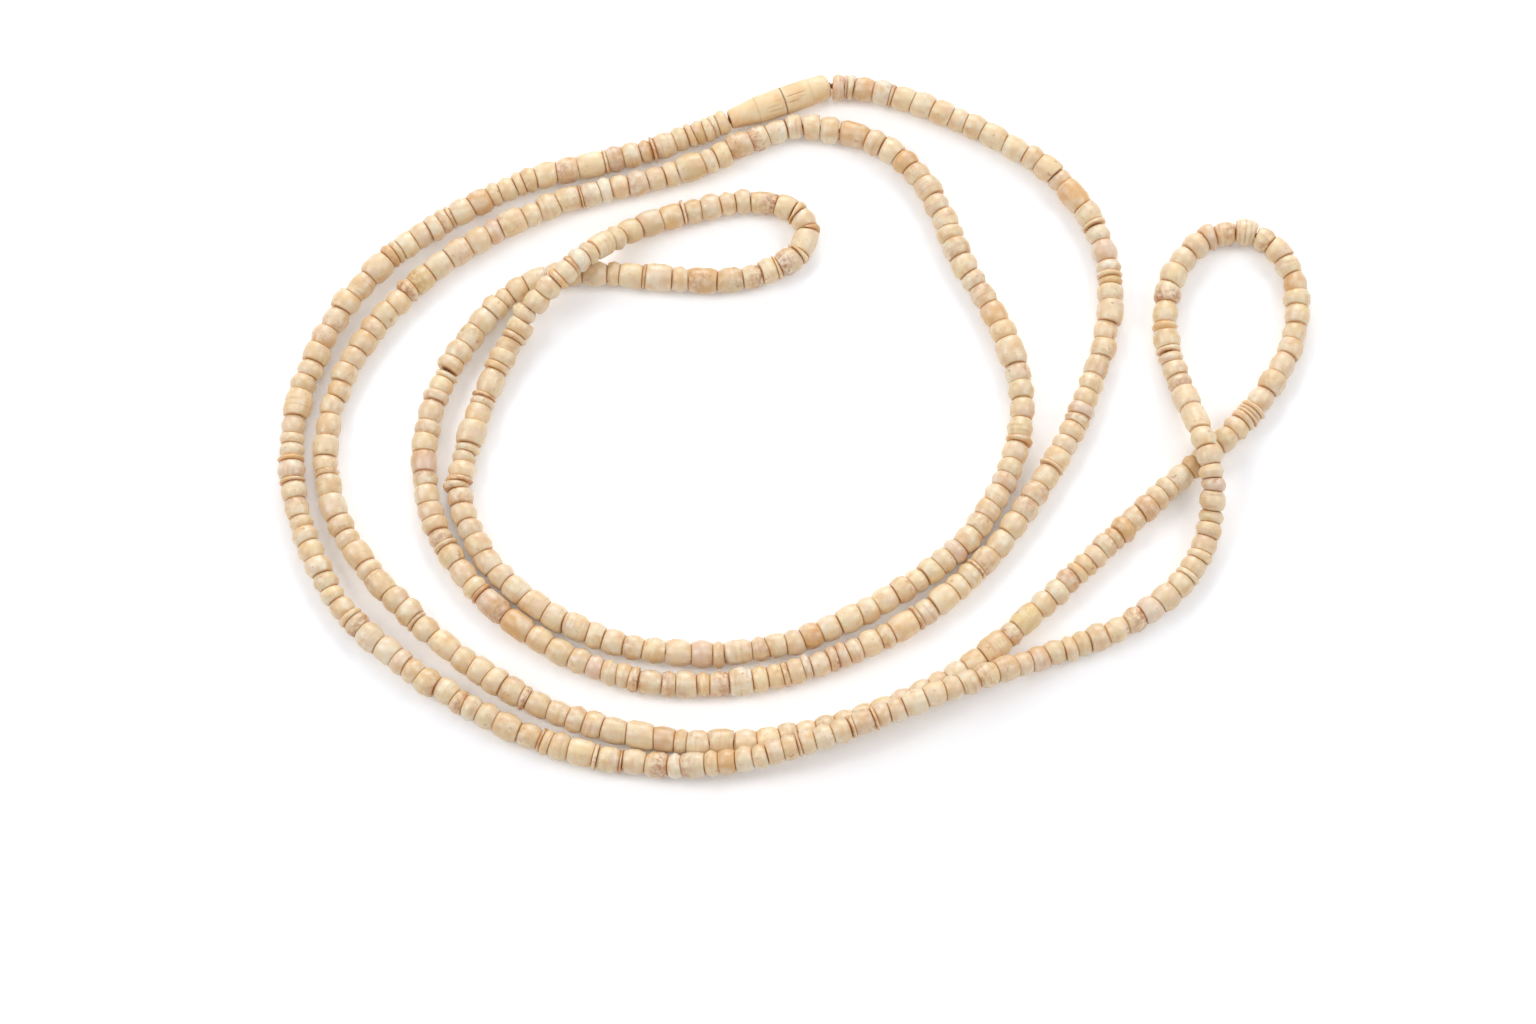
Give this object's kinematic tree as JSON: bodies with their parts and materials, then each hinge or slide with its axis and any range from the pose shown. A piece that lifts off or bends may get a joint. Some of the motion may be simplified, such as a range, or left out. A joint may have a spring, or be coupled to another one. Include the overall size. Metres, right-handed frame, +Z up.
{
  "type": "tulsi bead necklace",
  "caption": "Long closed string of small turned wooden beads with a screw clasp, laid flat in three uneven rounds.",
  "frame": {"origin": "centre of the bounding box, on the surface that the necklace lies on", "axes": "+Z up from the surface, +X along the longest extent towards the loop on the right, +Y towards the clasp"},
  "size_m": [0.141, 0.1026, 0.0071],
  "materials": {
    "bead_wood": "satin",
    "clasp_plastic": "satin",
    "thread": "matt"
  },
  "bodies": {
    "root": {"bead_string_first": "bead_wood", "bead_string_second": "bead_wood", "clasp_screw_half": "clasp_plastic", "clasp_socket_half": "clasp_plastic", "thread_end_screw": "thread", "thread_end_socket": "thread"}
  },
  "joints": []
}
